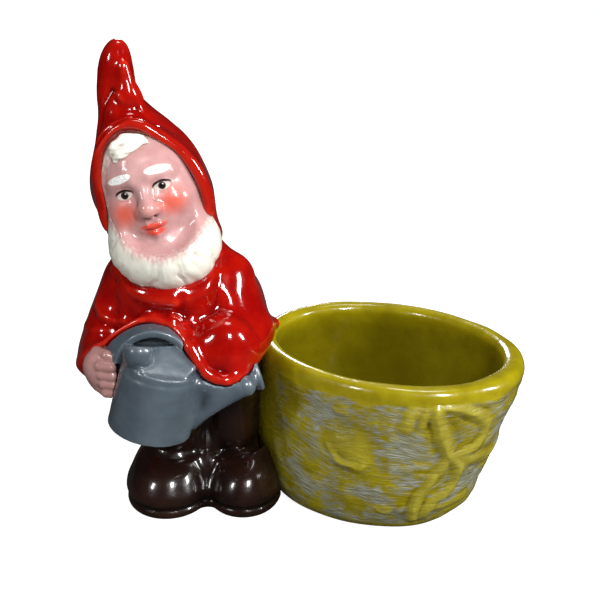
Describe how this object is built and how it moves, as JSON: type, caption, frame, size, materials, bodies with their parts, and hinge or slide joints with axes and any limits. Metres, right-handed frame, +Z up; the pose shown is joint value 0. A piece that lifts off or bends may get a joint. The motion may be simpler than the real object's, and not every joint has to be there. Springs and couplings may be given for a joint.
{
  "type": "garden gnome planter",
  "caption": "Hooded, bearded ceramic gnome with a watering can, standing beside an oval bark-textured planter bowl that takes a small potted plant.",
  "frame": {"origin": "middle of the overall footprint, on the ground", "axes": "+Z up, the figure faces -Y and stands on the -X side, the bowl on the +X side"},
  "size_m": [0.2386, 0.1362, 0.25],
  "materials": {
    "red_glaze": "gloss, with darker red pooled in the folds",
    "skin_paint": "satin, cheeks and lips sprayed orange red",
    "beard_white": "satin cream white, modelled strands",
    "can_grey": "satin blue grey",
    "brown_glaze": "gloss dark chocolate",
    "olive_glaze": "gloss olive, bark dry-brushed with pale grey"
  },
  "bodies": {
    "root": {"hood": "red_glaze", "coat": "red_glaze", "sleeve_right": "red_glaze", "sleeve_left": "red_glaze", "head": "skin_paint", "hand_right": "skin_paint", "beard": "beard_white", "forelock": "beard_white", "can_body": "can_grey", "can_cover": "can_grey", "can_filler": "can_grey", "can_handle": "can_grey", "can_spout": "can_grey", "can_rose": "can_grey", "can_web": "can_grey", "boot_right": "brown_glaze", "boot_left": "brown_glaze", "trouser_leg_right": "brown_glaze", "trouser_leg_left": "brown_glaze", "planter_bowl": "olive_glaze"}
  },
  "joints": []
}
